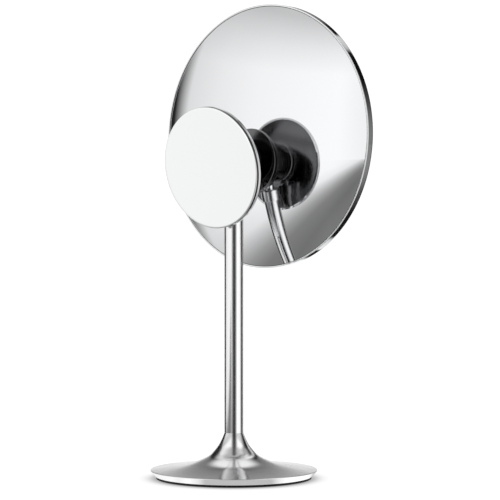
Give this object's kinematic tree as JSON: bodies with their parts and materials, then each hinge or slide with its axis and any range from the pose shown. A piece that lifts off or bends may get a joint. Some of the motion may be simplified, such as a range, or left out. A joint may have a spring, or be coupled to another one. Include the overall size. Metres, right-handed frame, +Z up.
{
  "type": "extendable shaving mirror",
  "caption": "Free-standing shaving mirror with a large and a small round mirror back to back on a tilting hub, a telescoping stem and a flared weighted base.",
  "frame": {"origin": "centre of the foot pad's underside, on the stem's axis", "axes": "+Z up along the stem, -Y the way the large mirror faces, X along both tilt pins"},
  "size_m": [0.1994, 0.1242, 0.3554],
  "materials": {
    "chrome": "polished",
    "satin_chrome": "brushed round the axis",
    "black_nickel": "satin black plating",
    "steel": "brushed",
    "zinc_steel": "zinc plated",
    "iron": "rough",
    "black_rubber": "matt",
    "foam": "matt foam",
    "nylon": "matt",
    "gloss_black": "gloss",
    "mirror_glass": "silvered"
  },
  "bodies": {
    "base": {"foot_pad": "black_rubber", "base_plate": "steel", "base_screws": "zinc_steel", "base_ballast": "iron", "base_shell": "satin_chrome", "stem_bolt": "zinc_steel", "stem_washer": "zinc_steel", "stem_plug": "steel", "stem_tube": "satin_chrome", "guide_bush": "nylon", "stem_collar": "satin_chrome"},
    "carrier": {"friction_piston": "nylon", "piston_ring": "black_rubber"},
    "post": {"inner_rod": "chrome", "rod_washer": "zinc_steel", "rod_screw": "zinc_steel"},
    "hub": {"hub_barrel": "black_nickel", "hub_core": "gloss_black", "hub_bezel": "gloss_black", "hub_pins": "steel", "friction_washers": "nylon", "hub_screws": "zinc_steel", "small_shell": "black_nickel", "small_pad": "foam", "small_glass": "mirror_glass", "small_ring": "chrome"},
    "head": {"mirror_flange": "black_nickel", "flange_screws": "zinc_steel", "stiffener": "steel", "back_shell": "chrome", "mirror_pad": "foam", "mirror_glass": "mirror_glass", "rim_ring": "chrome"}
  },
  "joints": [
    {"name": "height_slide", "type": "slide", "parent": "base", "child": "carrier", "axis": [0, 0, 1], "range_m": [0, 0.1]},
    {"name": "stem_swivel", "type": "hinge", "parent": "carrier", "child": "post", "pos_m": [0, 0, 0.12], "axis": [0, 0, 1], "continuous": true},
    {"name": "hub_tilt", "type": "hinge", "parent": "post", "child": "hub", "pos_m": [0, 0, 0.235], "axis": [-1, 0, 0], "range_deg": [-11, 6]},
    {"name": "head_tilt", "type": "hinge", "parent": "hub", "child": "head", "pos_m": [0, -0.00876, 0.23656], "axis": [-1, 0, 0], "range_deg": [-6, 24]}
  ]
}
